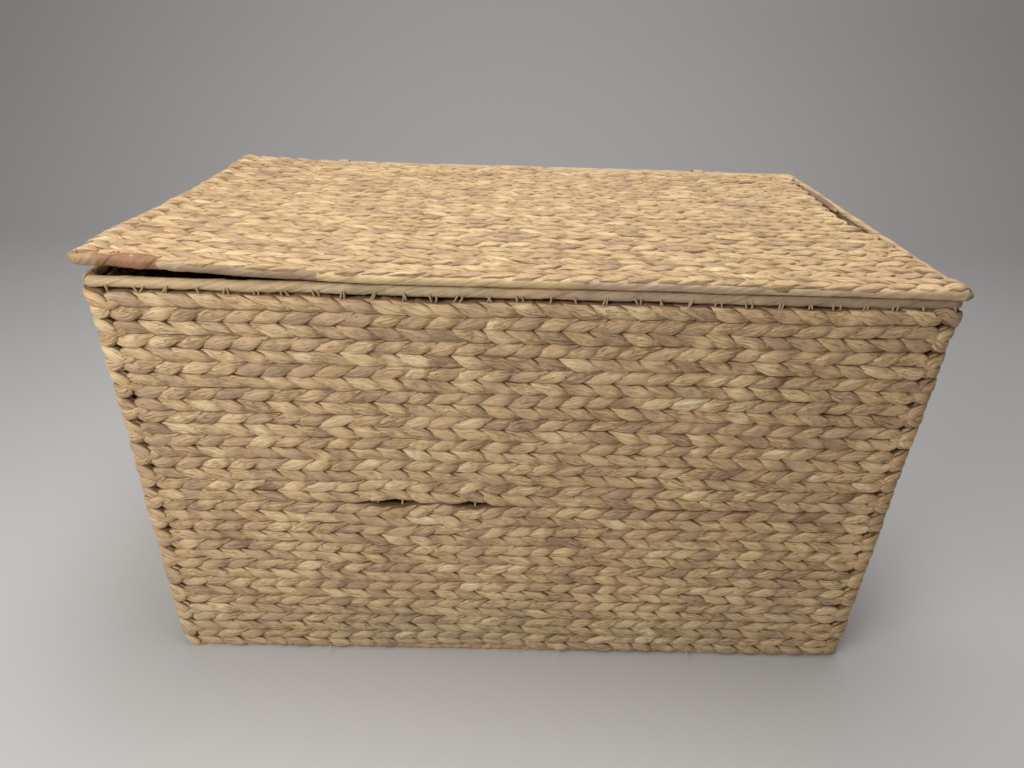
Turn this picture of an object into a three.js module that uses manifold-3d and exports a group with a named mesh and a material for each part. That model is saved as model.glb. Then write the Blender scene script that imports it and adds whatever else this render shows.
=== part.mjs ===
// A lidded chest of twined leaf strands on a frame of steel rods.
// A base rod, a rim rod and four corner posts carry closed bands of twined rows. Leaf strips wrap
// the rods, a twined mat is the floor, and the flat lid turns on its own rear rod in two lashings.
// Units are millimetres. +Z is up, the front faces -Y, and the origin is the footprint's centre.

import * as THREE from "three";
import { mergeVertices } from "three/addons/utils/BufferGeometryUtils.js";
import Module from "manifold-3d";

const wasm = await Module();
wasm.setup();

// Chest
const BOX_WIDTH = 600; // outside of the walls, along X
const BOX_DEPTH = 345; // outside of the walls, along Y
const BOX_HEIGHT = 355; // floor to the top of the rim
const CORNER_RADIUS = 7; // outside of the walls, in plan
const TIGHTEST_BEND = 0.6; // radius of the corners inside the frame's line, in plan

// Twined weave
const WALL_THICKNESS = 11;
const LID_THICKNESS = 10;
const FLOOR_THICKNESS = 9;
const ROW_HEIGHT = 10.2; // nominal, the rows are then fitted to the space they fill
const ROW_WAIST = 1.6; // how far the line between two rows is drawn in on each face
const RIM_SLIT = 1.9; // open slit between the top row and the rim

// Rods and leaf strips
const FRAME_ROD = 4.6; // base and rim rods, diameter
const POST_ROD = 3.2; // corner posts, diameter
const CROSS_ROD = 3.2; // rods under the floor, diameter
const CROSS_ROD_COUNT = 3;
const LID_ROD = 5; // rod of the lid's frame, diameter
const LEAF = 1; // thickness of a leaf wrap
const LID_SEAM = 2.6; // open seam along the inside of the lid's wraps

// Lid
const LID_LIFT = 12; // how far the sprung front left corner stands off the rim
const LID_LIFT_SPAN = 240; // along the front edge, until the lid lies on the rim again
const LID_LIFT_STEPS = 6;
const LID_SLACK = 7; // how far the weave has drawn away from the right rod
const LID_HELD = 80; // along the right side from the front, where the weave still meets the rod

// Hinge lashings
const LASHING_WIDTH = 14;
const LASHING_LEAF = 1;
const LASHING_INSET = 108; // from the end of the chest to the middle of a lashing

// Fits
const CLEARANCE = 0.3; // between pieces that lie against each other
const LID_SEAT = 0.4; // between the rim and the closed lid

// Facets
const ROD_SIDES = 8;
const THIN_ROD_SIDES = 6;
const CORNER_STEPS = 2;
const WRAP_STEPS = 7; // odd, so that a wrap has a flat opposite its seam
const LASHING_STEPS = 9;

// A leaf wrap round a rod: its flats clear the rod, and its edges stand a little further out.
function leafWrap(rod, seam) {
  const innerFlat = rod / 2 + CLEARANCE;
  const seamAngle = Math.asin(seam / 2 / innerFlat);
  const step = (2 * Math.PI - 2 * seamAngle) / WRAP_STEPS;
  const flat = innerFlat + LEAF;
  const spread = 1 / Math.cos(step / 2);
  return { seamAngle, step, flat, inner: innerFlat * spread, outer: flat * spread };
}
const frameWrap = leafWrap(FRAME_ROD, POST_ROD + 2 * CLEARANCE);
const lidWrap = leafWrap(LID_ROD, LID_SEAM);

// Plan of the frame, the middle of the wall's thickness
const frameHalfX = BOX_WIDTH / 2 - WALL_THICKNESS / 2;
const frameHalfY = BOX_DEPTH / 2 - WALL_THICKNESS / 2;
const frameRadius = CORNER_RADIUS - WALL_THICKNESS / 2;

// Heights
const baseZ = frameWrap.flat;
const rimZ = BOX_HEIGHT - frameWrap.flat;
const lidZ = BOX_HEIGHT + LID_SEAT + lidWrap.outer;
const wallBottom = baseZ + frameWrap.outer + CLEARANCE;
const wallTop = rimZ - frameWrap.outer - RIM_SLIT;
const floorBottom = baseZ + CROSS_ROD / 2 + CLEARANCE;

// Hinge axis, the middle of the lid's rear rod
const hingeY = frameHalfY;
const lashingTop = lidWrap.outer + CLEARANCE;
const lashingFoot = frameWrap.outer + CLEARANCE;

const finishes = {
  strand: new THREE.MeshStandardMaterial({ color: "#b39468", roughness: 0.72, metalness: 0 }),
  lidStrand: new THREE.MeshStandardMaterial({ color: "#ad9069", roughness: 0.72, metalness: 0 }),
  leaf: new THREE.MeshStandardMaterial({ color: "#9c7a4d", roughness: 0.6, metalness: 0 }),
  steel: new THREE.MeshStandardMaterial({ color: "#4a4643", roughness: 0.5, metalness: 0.9 }),
};

const chest = new THREE.Group();
chest.name = "woven_lidded_box";

// Adds a mesh to the chest under its own name.
function addPiece(name, geometry, finish) {
  const mesh = new THREE.Mesh(geometry, finish);
  mesh.name = name;
  chest.add(mesh);
}

// Two digits for the number of a repeated piece.
function numbered(stem, index) {
  return `${stem}_${String(index + 1).padStart(2, "0")}`;
}

// Turns a geometry into a manifold solid.
function toSolid(geometry) {
  const plain = new THREE.BufferGeometry();
  plain.setAttribute("position", geometry.getAttribute("position").clone());
  if (geometry.index) plain.setIndex(geometry.index.clone());
  const merged = mergeVertices(plain, 1e-4);
  return new wasm.Manifold(
    new wasm.Mesh({
      numProp: 3,
      vertProperties: new Float32Array(merged.getAttribute("position").array),
      triVerts: new Uint32Array(merged.index.array),
    }),
  );
}

// Turns a manifold solid back into a geometry.
function toGeometry(solid) {
  const mesh = solid.getMesh();
  const geometry = new THREE.BufferGeometry();
  geometry.setAttribute("position", new THREE.BufferAttribute(new Float32Array(mesh.vertProperties), 3));
  geometry.setIndex(new THREE.BufferAttribute(new Uint32Array(mesh.triVerts), 1));
  geometry.computeVertexNormals();
  return geometry;
}

// Skins a row of equal outlines, either round into a ring or capped at both ends.
function loft(rings, closed) {
  const count = rings[0].length;
  const positions = rings.flat().flatMap((point) => [point.x, point.y, point.z]);
  const index = [];
  const spans = closed ? rings.length : rings.length - 1;
  for (let i = 0; i < spans; i += 1) {
    const here = i * count;
    const next = ((i + 1) % rings.length) * count;
    for (let j = 0; j < count; j += 1) {
      const k = (j + 1) % count;
      index.push(here + j, here + k, next + k, here + j, next + k, next + j);
    }
  }
  const geometry = new THREE.BufferGeometry();
  geometry.setAttribute("position", new THREE.Float32BufferAttribute(positions, 3));
  geometry.setIndex(index);
  return geometry;
}

// Caps an open loft with its own flat outline.
function capped(rings, outline) {
  const geometry = loft(rings, false);
  const index = Array.from(geometry.index.array);
  const last = (rings.length - 1) * outline.length;
  for (const [a, b, c] of THREE.ShapeUtils.triangulateShape(outline, [])) {
    index.push(a, c, b);
    index.push(last + a, last + b, last + c);
  }
  geometry.setIndex(index);
  return geometry;
}

// Stations clockwise round a rounded rectangle. Each has its outward direction and gives its point at
// any distance outside the line, with the corner's centre kept until the bend gets too tight.
function ringStations(halfX, halfY, radius) {
  const stations = [];
  for (let corner = 0; corner < 4; corner += 1) {
    const start = (-corner * Math.PI) / 2;
    const signX = corner === 0 || corner === 3 ? 1 : -1;
    const signY = corner === 2 || corner === 3 ? 1 : -1;
    for (let step = 0; step <= CORNER_STEPS; step += 1) {
      const angle = start - (step / CORNER_STEPS) * (Math.PI / 2);
      const out = new THREE.Vector3(Math.cos(angle), Math.sin(angle), 0);
      const at = (offset) => {
        const bend = Math.max(radius + offset, TIGHTEST_BEND);
        const inset = offset - bend;
        const centre = new THREE.Vector3(signX * (halfX + inset), signY * (halfY + inset), 0);
        return centre.addScaledVector(out, bend);
      };
      stations.push({ at, out });
    }
  }
  return stations;
}

// Stations of one side, from the middle of one corner to the middle of the next.
function sideStations(stations, side) {
  const perCorner = CORNER_STEPS + 1;
  const first = side * perCorner + CORNER_STEPS / 2;
  const picked = [];
  for (let i = 0; i <= perCorner; i += 1) {
    picked.push(stations[(first + i) % stations.length]);
  }
  picked[0] = moved(picked[0], CLEARANCE / 2);
  picked[perCorner] = moved(picked[perCorner], -CLEARANCE / 2);
  return picked;
}

// A station moved along its direction of travel.
function moved({ at, out }, distance) {
  const travel = new THREE.Vector3(out.y, -out.x, 0);
  return { at: (offset) => at(offset).addScaledVector(travel, distance), out };
}

// Splits the long gaps between stations, so that the lid can bend there.
function refined(stations, closed, longest) {
  const result = [];
  const spans = closed ? stations.length : stations.length - 1;
  for (let i = 0; i < stations.length; i += 1) {
    result.push(stations[i]);
    if (i >= spans) continue;
    const from = stations[i];
    const to = stations[(i + 1) % stations.length];
    const parts = Math.ceil(from.at(0).distanceTo(to.at(0)) / longest);
    for (let part = 1; part < parts; part += 1) {
      const at = (offset) => from.at(offset).lerp(to.at(offset), part / parts);
      result.push({ at, out: from.out });
    }
  }
  return result;
}

// Places an outline at every station, x along its outward direction and y upwards.
function place(stations, outline, z) {
  return stations.map(({ at }) => outline.map((point) => at(point.x).setZ(z + point.y)));
}

// Round outline of a rod, with a flat at the top and at the bottom.
function rodOutline(diameter) {
  return Array.from({ length: ROD_SIDES }, (_, i) => {
    const angle = ((i + 0.5) / ROD_SIDES) * 2 * Math.PI;
    return new THREE.Vector2(Math.cos(angle), Math.sin(angle)).multiplyScalar(diameter / 2);
  });
}

// Open outline of a leaf wrap, with its seam towards the given angle.
function wrapOutline(wrap, facing) {
  const directions = [];
  for (let i = 0; i <= WRAP_STEPS; i += 1) {
    const angle = facing + wrap.seamAngle + i * wrap.step;
    directions.push(new THREE.Vector2(Math.cos(angle), Math.sin(angle)));
  }
  const outer = directions.map((at) => at.clone().multiplyScalar(wrap.outer));
  const inner = directions.map((at) => at.clone().multiplyScalar(wrap.inner)).reverse();
  return [...outer, ...inner];
}

// Outline of stacked rows, x across the thickness and y along the stack, drawn in between rows.
// The face that shows has two edges to a row and the other face has one.
function rowsOutline(rows, pitch, thickness) {
  const face = thickness / 2;
  const front = [];
  const back = [];
  for (let row = 0; row < rows; row += 1) {
    const seam = row * pitch + (row === 0 ? CLEARANCE / 2 : 0);
    front.push([face - ROW_WAIST, seam], [face, (row + 0.3) * pitch], [face, (row + 0.7) * pitch]);
    back.push([ROW_WAIST - face, seam], [-face, (row + 0.5) * pitch]);
  }
  const last = rows * pitch - CLEARANCE / 2;
  front.push([face - ROW_WAIST, last]);
  back.push([ROW_WAIST - face, last]);
  return [...front, ...back.reverse()].map(([x, y]) => new THREE.Vector2(x, y));
}

// Straight thin rod along Y.
function straightRod(diameter, length) {
  return new THREE.CylinderGeometry(diameter / 2, diameter / 2, length, THIN_ROD_SIDES, 1);
}

// How far the sprung corner raises a point of the lid.
function lift(x, y) {
  const along = 1 - (x + BOX_WIDTH / 2) / LID_LIFT_SPAN;
  const rear = hingeY - lidWrap.outer - CLEARANCE;
  const forward = (rear - y) / (rear + BOX_DEPTH / 2);
  return LID_LIFT * Math.max(0, Math.min(1, along)) ** 2 * Math.max(0, forward);
}

// Raises every vertex of a lid piece that was built flat.
function lifted(geometry) {
  const position = geometry.getAttribute("position");
  for (let i = 0; i < position.count; i += 1) {
    position.setZ(i, position.getZ(i) + lift(position.getX(i), position.getY(i)));
  }
  geometry.computeVertexNormals();
  return geometry;
}

// Frame of the chest
const frame = ringStations(frameHalfX, frameHalfY, frameRadius);
const frameRod = rodOutline(FRAME_ROD);
addPiece("base_rod", loft(place(frame, frameRod, baseZ), true), finishes.steel);
addPiece("rim_rod", loft(place(frame, frameRod, rimZ), true), finishes.steel);

const cornerNames = ["front_right", "front_left", "rear_left", "rear_right"];
const postFoot = baseZ + FRAME_ROD / 2 + CLEARANCE;
const postHead = rimZ - FRAME_ROD / 2 - CLEARANCE;
const postPlaces = cornerNames.map((_, i) => frame[i * (CORNER_STEPS + 1) + CORNER_STEPS / 2].at(0));
cornerNames.forEach((name, i) => {
  const post = straightRod(POST_ROD, postHead - postFoot).rotateX(Math.PI / 2);
  post.translate(postPlaces[i].x, postPlaces[i].y, (postFoot + postHead) / 2);
  addPiece(`corner_post_${name}`, post, finishes.steel);
});

const crossLength = 2 * (frameHalfY - FRAME_ROD / 2 - CLEARANCE);
const crossPlaces = Array.from(
  { length: CROSS_ROD_COUNT },
  (_, i) => BOX_WIDTH * ((i + 1) / (CROSS_ROD_COUNT + 1) - 0.5),
);
crossPlaces.forEach((x, i) => {
  const rod = straightRod(CROSS_ROD, crossLength).translate(x, 0, baseZ);
  addPiece(numbered("floor_cross_rod", i), rod, finishes.steel);
});

// Leaf wraps of the base and of the rim, with seams towards the posts
const sideNames = ["front", "left", "rear", "right"];
let crossBores = null;
crossPlaces.forEach((x) => {
  const bore = straightRod(CROSS_ROD + 2 * CLEARANCE, crossLength + LEAF).translate(x, 0, baseZ);
  crossBores = crossBores ? crossBores.add(toSolid(bore)) : toSolid(bore);
});
sideNames.forEach((name, side) => {
  const stations = sideStations(frame, side);
  const up = wrapOutline(frameWrap, Math.PI / 2);
  const down = wrapOutline(frameWrap, -Math.PI / 2);
  const base = toSolid(capped(place(stations, up, baseZ), up)).subtract(crossBores);
  addPiece(`base_wrap_${name}`, toGeometry(base), finishes.leaf);
  addPiece(`rim_wrap_${name}`, capped(place(stations, down, rimZ), down), finishes.leaf);
});

// Twined bands round the walls, in pairs of rows from the floor up
let postBores = null;
postPlaces.forEach((point) => {
  const bore = straightRod(POST_ROD + 2 * CLEARANCE, BOX_HEIGHT * 2).rotateX(Math.PI / 2);
  bore.translate(point.x, point.y, 0);
  postBores = postBores ? postBores.add(toSolid(bore)) : toSolid(bore);
});
const wallRows = Math.round((wallTop - wallBottom) / ROW_HEIGHT);
const wallPitch = (wallTop - wallBottom) / wallRows;
const wallBands = Math.ceil(wallRows / 2);
for (let band = 0; band < wallBands; band += 1) {
  const rows = Math.min(2, wallRows - band * 2);
  const outline = rowsOutline(rows, wallPitch, WALL_THICKNESS);
  const ring = loft(place(frame, outline, wallBottom + band * 2 * wallPitch), true);
  addPiece(numbered("weft_band", band), toGeometry(toSolid(ring).subtract(postBores)), finishes.strand);
}

// Floor mat, a row profile drawn along X between the walls
const floorHalfX = BOX_WIDTH / 2 - WALL_THICKNESS - CLEARANCE;
const floorHalfY = BOX_DEPTH / 2 - WALL_THICKNESS - CLEARANCE;
const floorRows = Math.round((2 * floorHalfY) / ROW_HEIGHT);
const floorPitch = (2 * floorHalfY) / floorRows;
const floorOutline = rowsOutline(floorRows, floorPitch, FLOOR_THICKNESS);
const floorZ = floorBottom + FLOOR_THICKNESS / 2;
const floorEnds = [floorHalfX, -floorHalfX].map((x) =>
  floorOutline.map((at) => new THREE.Vector3(x, at.y - floorHalfY, floorZ + at.x)),
);
addPiece("floor_mat", capped(floorEnds, floorOutline), finishes.strand);

// Hinge lashings, tapered bands round the rear rim and the lid's rear rod
function lashingLoop(path, top, foot) {
  const rise = lidZ - rimZ;
  const lean = Math.asin((top - foot) / rise);
  path.absarc(0, rise, top, lean, Math.PI - lean);
  path.absarc(0, 0, foot, Math.PI - lean, 2 * Math.PI + lean);
  path.closePath();
  return path;
}
const lashingShape = lashingLoop(new THREE.Shape(), lashingTop + LASHING_LEAF, lashingFoot + LASHING_LEAF);
lashingShape.holes.push(lashingLoop(new THREE.Path(), lashingTop, lashingFoot));
const toSide = new THREE.Matrix4().makeBasis(
  new THREE.Vector3(0, 1, 0),
  new THREE.Vector3(0, 0, 1),
  new THREE.Vector3(1, 0, 0),
);
const lashingPlaces = { left: LASHING_INSET - BOX_WIDTH / 2, right: BOX_WIDTH / 2 - LASHING_INSET };
for (const [name, x] of Object.entries(lashingPlaces)) {
  const options = { depth: LASHING_WIDTH, bevelEnabled: false, curveSegments: LASHING_STEPS };
  const loop = new THREE.ExtrudeGeometry(lashingShape, options).applyMatrix4(toSide);
  addPiece(`hinge_lashing_${name}`, loop.translate(x - LASHING_WIDTH / 2, hingeY, rimZ), finishes.leaf);
}

// Frame and wraps of the lid, built flat and then lifted
const liftStep = LID_LIFT_SPAN / LID_LIFT_STEPS;
addPiece(
  "lid_rod",
  lifted(loft(place(refined(frame, true, liftStep), rodOutline(LID_ROD), lidZ), true)),
  finishes.steel,
);
const lidWrapOutline = wrapOutline(lidWrap, Math.PI);
sideNames.forEach((name, side) => {
  const stations = sideStations(frame, side);
  const bent = name === "front" ? refined(stations, false, liftStep) : stations;
  const strip = capped(place(bent, lidWrapOutline, lidZ), lidWrapOutline);
  addPiece(`lid_wrap_${name}`, lifted(strip), finishes.leaf);
});

// Twined bands of the lid, in pairs of rows from the front, drawn away from the right rod
const lidHalfX = frameHalfX - lidWrap.outer - CLEARANCE;
const lidFront = lidWrap.outer + CLEARANCE - frameHalfY;
const lidRear = hingeY - lashingTop - LASHING_LEAF - 2 * CLEARANCE;
const lidBands = Math.round((lidRear - lidFront) / (2 * ROW_HEIGHT));
const lidPitch = (lidRear - lidFront) / (2 * lidBands);
const lidOutline = rowsOutline(2, lidPitch, LID_THICKNESS);
for (let band = 0; band < lidBands; band += 1) {
  const from = lidFront + band * 2 * lidPitch;
  const behind = Math.max(0, (from + lidPitch - lidFront - LID_HELD) / (lidRear - lidFront - LID_HELD));
  const slack = LID_SLACK * Math.sin(Math.PI * behind);
  const right = lidHalfX - slack;
  const stops = Array.from({ length: LID_LIFT_STEPS + 1 }, (_, i) => i * liftStep - BOX_WIDTH / 2);
  stops[0] = -lidHalfX;
  const rings = [...stops, right]
    .reverse()
    .map((x) => lidOutline.map((at) => new THREE.Vector3(x, from + at.y, lidZ + at.x)));
  addPiece(numbered("lid_weft_band", band), lifted(capped(rings, lidOutline)), finishes.lidStrand);
}

export default chest;
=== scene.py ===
"""Dresses the woven lidded chest: twined strands, wrapped rods, ties, lashings, light and camera."""

import logging
import math
import random
from collections.abc import Callable
from dataclasses import dataclass, field
from enum import Enum
from functools import cached_property
from typing import Any, ClassVar, NamedTuple

import bpy
from bpy.types import Material, Mesh, Object
from mathutils import Matrix, Vector, noise


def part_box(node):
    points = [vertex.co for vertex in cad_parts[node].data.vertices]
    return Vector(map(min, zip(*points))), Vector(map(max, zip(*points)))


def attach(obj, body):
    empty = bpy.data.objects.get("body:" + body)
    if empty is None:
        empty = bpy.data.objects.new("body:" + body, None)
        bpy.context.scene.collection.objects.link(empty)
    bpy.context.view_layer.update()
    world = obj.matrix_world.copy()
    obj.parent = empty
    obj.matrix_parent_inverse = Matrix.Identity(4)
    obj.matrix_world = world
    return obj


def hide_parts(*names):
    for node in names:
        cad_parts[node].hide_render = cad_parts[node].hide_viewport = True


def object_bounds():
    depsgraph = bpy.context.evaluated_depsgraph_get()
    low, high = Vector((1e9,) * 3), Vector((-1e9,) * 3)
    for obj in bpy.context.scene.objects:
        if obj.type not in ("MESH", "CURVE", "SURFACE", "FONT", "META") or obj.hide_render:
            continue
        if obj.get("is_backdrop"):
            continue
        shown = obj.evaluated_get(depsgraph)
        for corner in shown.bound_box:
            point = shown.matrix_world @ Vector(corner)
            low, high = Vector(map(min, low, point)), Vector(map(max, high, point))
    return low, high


LOG = logging.getLogger("chest")
MM = 0.001
UP = Vector((0.0, 0.0, 1.0))
RIGHT = Vector((1.0, 0.0, 0.0))
FORWARD = Vector((0.0, -1.0, 0.0))
SIDES = ("front", "right", "rear", "left")
Colour = tuple[float, float, float]
Spot = tuple[float, float]


class Lay(Enum):
    """Which way the stitches of a twined row lean, seen from outside."""

    RISING = 1.0
    FALLING = -1.0


class Body(Enum):
    """Bodies of the frame that a piece can ride on."""

    CHEST = "chest"
    LID = "lid"


class Slot(Enum):
    """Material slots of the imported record."""

    STRAND = "twined_strand"
    LEAF = "leaf_wrap"


def operator(kind: str, swapped: bool = False) -> Callable[["Sock", Any], "Sock"]:
    """Makes the method behind a Python operator.

    Args:
        kind: The Math node's operation.
        swapped: Whether the other value stands in front.

    Returns:
        A method that adds the Math node.
    """

    def method(self: "Sock", other: Any) -> "Sock":
        """Adds the Math node."""
        values = (other, self) if swapped else (self, other)
        return self.graph.add("ShaderNodeMath", {"operation": kind}, dict(enumerate(values)))

    return method


class Sock:
    """A node's output that takes part in Python sums."""

    __add__ = operator("ADD")
    __radd__ = operator("ADD", swapped=True)
    __sub__ = operator("SUBTRACT")
    __rsub__ = operator("SUBTRACT", swapped=True)
    __mul__ = operator("MULTIPLY")
    __rmul__ = operator("MULTIPLY", swapped=True)
    __truediv__ = operator("DIVIDE")
    __pow__ = operator("POWER")

    def __init__(self, graph: "Graph", socket: bpy.types.NodeSocket) -> None:
        """Keeps the socket and the graph that it belongs to."""
        self.graph = graph
        self.socket = socket

    def other(self, name: str) -> "Sock":
        """Another output of the same node."""
        return Sock(self.graph, self.socket.node.outputs[name])

    def math(self, operation: str, *values: "Sock | float") -> "Sock":
        """A Math node on this value and the given ones."""
        inputs = dict(enumerate((self, *values)))
        return self.graph.add("ShaderNodeMath", {"operation": operation}, inputs)

    def fade(self, low: float, high: float) -> "Sock":
        """A smooth step from 0 at low to 1 at high."""
        inputs = {"Value": self, "From Min": low, "From Max": high}
        return self.graph.add("ShaderNodeMapRange", {"interpolation_type": "SMOOTHSTEP"}, inputs)


class Graph:
    """A node tree that is written as expressions."""

    def __init__(self, tree: bpy.types.NodeTree) -> None:
        """Keeps the tree."""
        self.tree = tree

    def add(
        self,
        kind: str,
        settings: dict[str, Any] | None = None,
        inputs: dict[int | str, Any] | None = None,
        output: int | str = 0,
    ) -> Sock:
        """Makes a node.

        Args:
            kind: The node's type.
            settings: Its properties, set first.
            inputs: Values or sockets by input name or number.
            output: The output to return.

        Returns:
            The chosen output.
        """
        node = self.tree.nodes.new(kind)
        for name, value in (settings or {}).items():
            setattr(node, name, value)
        for name, value in (inputs or {}).items():
            if isinstance(value, Sock):
                self.tree.links.new(value.socket, node.inputs[name])
            else:
                node.inputs[name].default_value = value
        return Sock(self, node.outputs[output]) if node.outputs else None

    def vector(self, operation: str, first: Any, second: Any) -> Sock:
        """A Vector Math node on two vectors, or on a vector and a scale."""
        slot = "Scale" if operation == "SCALE" else 1
        return self.add("ShaderNodeVectorMath", {"operation": operation}, {0: first, slot: second})

    def combine(self, x: Any, y: Any, z: Any) -> Sock:
        """A vector from three values."""
        return self.add("ShaderNodeCombineXYZ", None, {0: x, 1: y, 2: z})

    def part(self, vector: Sock, axis: str) -> Sock:
        """One part of a vector, named X, Y or Z."""
        return self.add("ShaderNodeSeparateXYZ", None, {0: vector}, axis)

    def noise(self, vector: Any, seed: Any, scale: float, detail: float = 2.0) -> Sock:
        """A cloud of values about one half, set by a place and a seed."""
        inputs = {"Vector": vector, "W": seed, "Scale": scale, "Detail": detail}
        return self.add("ShaderNodeTexNoise", {"noise_dimensions": "4D"}, inputs)

    def attribute(self, name: str, output: str = "Fac") -> Sock:
        """A value that the mesh carries."""
        return self.add("ShaderNodeAttribute", {"attribute_name": name}, None, output)

    def ramp(self, value: Sock, stops: list[tuple[float, Colour]]) -> Sock:
        """A colour from a ramp.

        Args:
            value: The place on the ramp.
            stops: Places with their colours.

        Returns:
            The colour.
        """
        colour = self.add("ShaderNodeValToRGB", None, {"Fac": value})
        elements = colour.socket.node.color_ramp.elements
        while len(elements) < len(stops):
            elements.new(1.0)
        for element, (place, tint) in zip(elements, stops):
            element.position = place
            element.color = (*tint, 1.0)
        return colour

    def mix(self, factor: Any, first: Any, second: Any, blend: str = "MIX") -> Sock:
        """A mix of two colours.

        Args:
            factor: The second colour's share.
            first: A socket or a plain colour.
            second: The same.
            blend: How they mix.

        Returns:
            The mixed colour.
        """
        settings = {"data_type": "RGBA", "blend_type": blend, "clamp_factor": True}
        first, second = (c if isinstance(c, Sock) else (*c, 1.0) for c in (first, second))
        return self.add("ShaderNodeMix", settings, {"Factor": factor, 6: first, 7: second}, 2)

    def emboss(self, height: Sock, strength: float, distance: float) -> Sock:
        """A Bump node on a height."""
        inputs = {"Strength": strength, "Distance": distance, "Height": height}
        return self.add("ShaderNodeBump", None, inputs)


@dataclass
class Knot:
    """A point of a line: where the fabric faces, the way across with its lay, and what growers read."""

    point: Vector
    outward: Vector
    across: Vector
    turn: float = 0.0
    along: float = 0.0
    depth: float = 0.0
    girth: float = 1.0


@dataclass
class Line:
    """A centre line, with a number that sets its tone."""

    row: float = 0.0
    knots: list[Knot] = field(default_factory=list)

    def put(self, *parts: Any, **named: float) -> None:
        """Adds a knot."""
        self.knots.append(Knot(*parts, **named))


def line_mesh(name: str, lines: list[Line]) -> Mesh:
    """Joins lines into one mesh of edges.

    Args:
        name: The mesh's name.
        lines: The lines.

    Returns:
        A mesh whose points carry what the growers read.
    """
    knots = [knot for line in lines for knot in line.knots]
    edges: list[tuple[int, int]] = []
    first = 0
    for line in lines:
        last = first + len(line.knots) - 1
        edges.extend((i, i + 1) for i in range(first, last))
        first = last + 1
    mesh = bpy.data.meshes.new(name)
    mesh.from_pydata([knot.point for knot in knots], edges, [])
    for key in ("outward", "across"):
        values = [part for knot in knots for part in getattr(knot, key)]
        mesh.attributes.new(key, "FLOAT_VECTOR", "POINT").data.foreach_set("vector", values)
    numbers = {key: [getattr(knot, key) for knot in knots] for key in ("turn", "along", "depth", "girth")}
    numbers["row"] = [line.row for line in lines for _ in line.knots]
    for key, values in numbers.items():
        mesh.attributes.new(key, "FLOAT", "POINT").data.foreach_set("value", values)
    return mesh


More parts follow.
